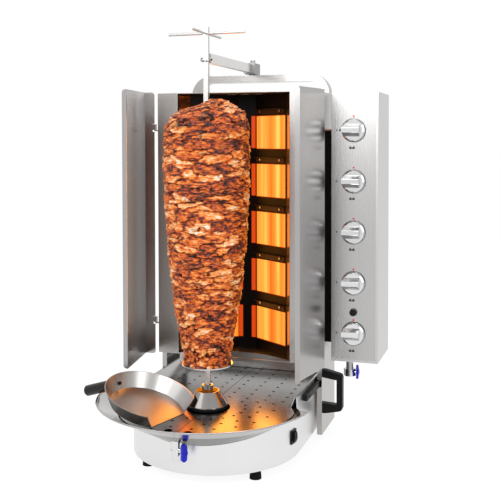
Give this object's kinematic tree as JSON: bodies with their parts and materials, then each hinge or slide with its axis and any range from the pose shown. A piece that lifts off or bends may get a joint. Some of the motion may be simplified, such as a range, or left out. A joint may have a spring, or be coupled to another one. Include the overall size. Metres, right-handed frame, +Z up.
{
  "type": "gas doner kebab grill",
  "caption": "Gas doner kebab grill: vertical spit over a round drip tray, sliding tower of infrared burners with folding side wings, control box with gas knobs, and a catch pan.",
  "frame": {"origin": "on the floor, straight below the spit axis", "axes": "+Z up along the spit, +Y back towards the burners, +X towards the control box"},
  "size_m": [0.7141, 0.7022, 1.116],
  "materials": {
    "drum_steel": "brushed, bright",
    "galvanised_sheet": "plain zinc sheet",
    "rubber_foot": "matt",
    "tray_steel": "polished",
    "plate_steel": "satin",
    "rail_black": "satin",
    "nickel_valve": "nickel plate",
    "blue_lever": "gloss enamel",
    "switch_plastic": "matt",
    "motor_paint": "hammered paint",
    "bearing_metal": "turned",
    "cone_steel": "polished",
    "seal_rubber": "matt",
    "spit_steel": "drawn",
    "roast_meat": "roasted, moist",
    "pan_steel": "satin",
    "handle_plastic": "gloss",
    "casing_steel": "brushed",
    "liner_black": "heat-darkened",
    "bridge_handle_plastic": "satin",
    "burner_body": "heat-tinted",
    "ceramic_plaque": "glowing",
    "hood_steel": "heat-tinted",
    "gas_pipe_copper": "drawn copper",
    "tap_brass": "machined",
    "box_steel": "brushed",
    "panel_steel": "brushed",
    "spacer_black": "satin",
    "inlet_pipe_steel": "zinc",
    "arch_steel": "polished",
    "clamp_steel": "machined",
    "arm_steel": "brushed",
    "pin_black": "blackened",
    "button_plastic": "gloss",
    "wing_mirror_steel": "polished",
    "spindle_brass": "machined",
    "knob_chrome": "plated"
  },
  "bodies": {
    "base": {"base_shell": "drum_steel", "base_floor": "galvanised_sheet", "feet": "rubber_foot", "drip_tray": "tray_steel", "slide_rails": "rail_black", "drain_valve": "nickel_valve", "switch_bezel": "switch_plastic", "gear_motor": "motor_paint", "motor_bracket": "galvanised_sheet", "shaft_bearing": "bearing_metal"},
    "tower": {"tower_casing": "casing_steel", "back_cover": "casing_steel", "burner_liner": "liner_black", "side_plate_left": "casing_steel", "side_plate_right": "casing_steel", "tower_runners": "rail_black", "tower_handle": "bridge_handle_plastic", "burners": "burner_body", "plaques": "ceramic_plaque", "burner_hoods": "hood_steel", "gas_manifold": "gas_pipe_copper", "gas_taps": "tap_brass", "feed_pipes": "gas_pipe_copper", "control_box": "box_steel", "control_panel": "panel_steel", "box_spacer": "spacer_black", "inlet_pipe": "inlet_pipe_steel", "inlet_valve": "nickel_valve", "arch_frame": "arch_steel", "arm_clamp": "clamp_steel"},
    "drive": {"drive_socket": "cone_steel", "drip_cone": "cone_steel", "seal_ring": "seal_rubber"},
    "spit": {"spit_bar": "spit_steel", "cross_rods": "spit_steel", "spit_disc": "spit_steel", "meat_stack": "roast_meat"},
    "scoop": {"scoop_pan": "pan_steel", "scoop_handle": "handle_plastic"},
    "arm": {"spit_arm": "arm_steel", "spit_bearing": "clamp_steel"},
    "lock_pin": {"lock_pin": "pin_black"},
    "plate_left": {"plate_left": "plate_steel"},
    "plate_right": {"plate_right": "plate_steel"},
    "drain_lever": {"drain_lever": "blue_lever"},
    "rocker": {"rocker_switch": "switch_plastic"},
    "inlet_lever": {"inlet_lever": "blue_lever"},
    "igniter": {"igniter_button": "button_plastic"},
    "wing_left": {"wing_left": "wing_mirror_steel"},
    "wing_right": {"wing_right": "wing_mirror_steel"},
    "spindle_1": {"spindle_1": "spindle_brass"},
    "knob_1": {"knob_1": "knob_chrome"},
    "spindle_2": {"spindle_2": "spindle_brass"},
    "knob_2": {"knob_2": "knob_chrome"},
    "spindle_3": {"spindle_3": "spindle_brass"},
    "knob_3": {"knob_3": "knob_chrome"},
    "spindle_4": {"spindle_4": "spindle_brass"},
    "knob_4": {"knob_4": "knob_chrome"},
    "spindle_5": {"spindle_5": "spindle_brass"},
    "knob_5": {"knob_5": "knob_chrome"}
  },
  "joints": [
    {"name": "tower_slide", "type": "slide", "parent": "base", "child": "tower", "axis": [0, 1, 0], "range_m": [-0.08, 0]},
    {"name": "arm_slide", "type": "slide", "parent": "tower", "child": "arm", "axis": [0, 1, 0], "range_m": [0, 0.08]},
    {"name": "wing_left_hinge", "type": "hinge", "parent": "tower", "child": "wing_left", "pos_m": [-0.228, 0.19075, 0.6], "axis": [0, 0, 1], "range_deg": [-75, 15]},
    {"name": "wing_right_hinge", "type": "hinge", "parent": "tower", "child": "wing_right", "pos_m": [0.228, 0.19075, 0.6], "axis": [0, 0, 1], "range_deg": [-13, 77]},
    {"name": "spindle_1_turn", "type": "hinge", "parent": "tower", "child": "spindle_1", "pos_m": [0.329, 0.235, 0.307], "axis": [0, 1, 0], "range_deg": [-90, 90]},
    {"name": "knob_1_push", "type": "slide", "parent": "spindle_1", "child": "knob_1", "axis": [0, 1, 0], "range_m": [0, 0.004], "stiffness_N_per_m": 1500},
    {"name": "spindle_2_turn", "type": "hinge", "parent": "tower", "child": "spindle_2", "pos_m": [0.329, 0.235, 0.4443], "axis": [0, 1, 0], "range_deg": [-90, 90]},
    {"name": "knob_2_push", "type": "slide", "parent": "spindle_2", "child": "knob_2", "axis": [0, 1, 0], "range_m": [0, 0.004], "stiffness_N_per_m": 1500},
    {"name": "spindle_3_turn", "type": "hinge", "parent": "tower", "child": "spindle_3", "pos_m": [0.329, 0.235, 0.5816], "axis": [0, 1, 0], "range_deg": [-90, 90]},
    {"name": "knob_3_push", "type": "slide", "parent": "spindle_3", "child": "knob_3", "axis": [0, 1, 0], "range_m": [0, 0.004], "stiffness_N_per_m": 1500},
    {"name": "spindle_4_turn", "type": "hinge", "parent": "tower", "child": "spindle_4", "pos_m": [0.329, 0.235, 0.7189], "axis": [0, 1, 0], "range_deg": [-90, 90]},
    {"name": "knob_4_push", "type": "slide", "parent": "spindle_4", "child": "knob_4", "axis": [0, 1, 0], "range_m": [0, 0.004], "stiffness_N_per_m": 1500},
    {"name": "spindle_5_turn", "type": "hinge", "parent": "tower", "child": "spindle_5", "pos_m": [0.329, 0.235, 0.8562], "axis": [0, 1, 0], "range_deg": [-90, 90]},
    {"name": "knob_5_push", "type": "slide", "parent": "spindle_5", "child": "knob_5", "axis": [0, 1, 0], "range_m": [0, 0.004], "stiffness_N_per_m": 1500},
    {"name": "igniter_push", "type": "slide", "parent": "tower", "child": "igniter", "axis": [0, 1, 0], "range_m": [0, 0.004], "stiffness_N_per_m": 1200},
    {"name": "inlet_lever_turn", "type": "hinge", "parent": "tower", "child": "inlet_lever", "pos_m": [0.33, 0.328, 0.18], "axis": [1, 0, 0], "range_deg": [0, 90]},
    {"name": "lock_pin_pull", "type": "slide", "parent": "arm", "child": "lock_pin", "axis": [-1, 0, 0], "range_m": [0, 0.026]},
    {"name": "drive_turn", "type": "hinge", "parent": "base", "child": "drive", "pos_m": [0, 0, 0.12], "axis": [0, 0, 1], "continuous": true},
    {"name": "spit_lift", "type": "slide", "parent": "drive", "child": "spit", "axis": [0, 0, 1], "range_m": [0, 0.045]},
    {"name": "plate_left_lift", "type": "slide", "parent": "base", "child": "plate_left", "axis": [0, 0, 1], "range_m": [0, 0.02]},
    {"name": "plate_right_lift", "type": "slide", "parent": "base", "child": "plate_right", "axis": [0, 0, 1], "range_m": [0, 0.02]},
    {"name": "scoop_lift", "type": "slide", "parent": "plate_left", "child": "scoop", "axis": [0, 0, 1], "range_m": [0, 0.03]},
    {"name": "drain_lever_turn", "type": "hinge", "parent": "base", "child": "drain_lever", "pos_m": [0.00681, -0.17859, 0.093], "axis": [0.788, -0.6157, 0], "range_deg": [0, 90]},
    {"name": "rocker_tilt", "type": "hinge", "parent": "base", "child": "rocker", "pos_m": [0.21764, 0.03662, 0.083], "axis": [0.1736, 0.9848, 0], "range_deg": [-8, 8], "stiffness_Nm_per_rad": 0.2}
  ],
  "couplings": [
    {"joint": "arm_slide", "follows": "tower_slide", "ratio": -1}
  ]
}
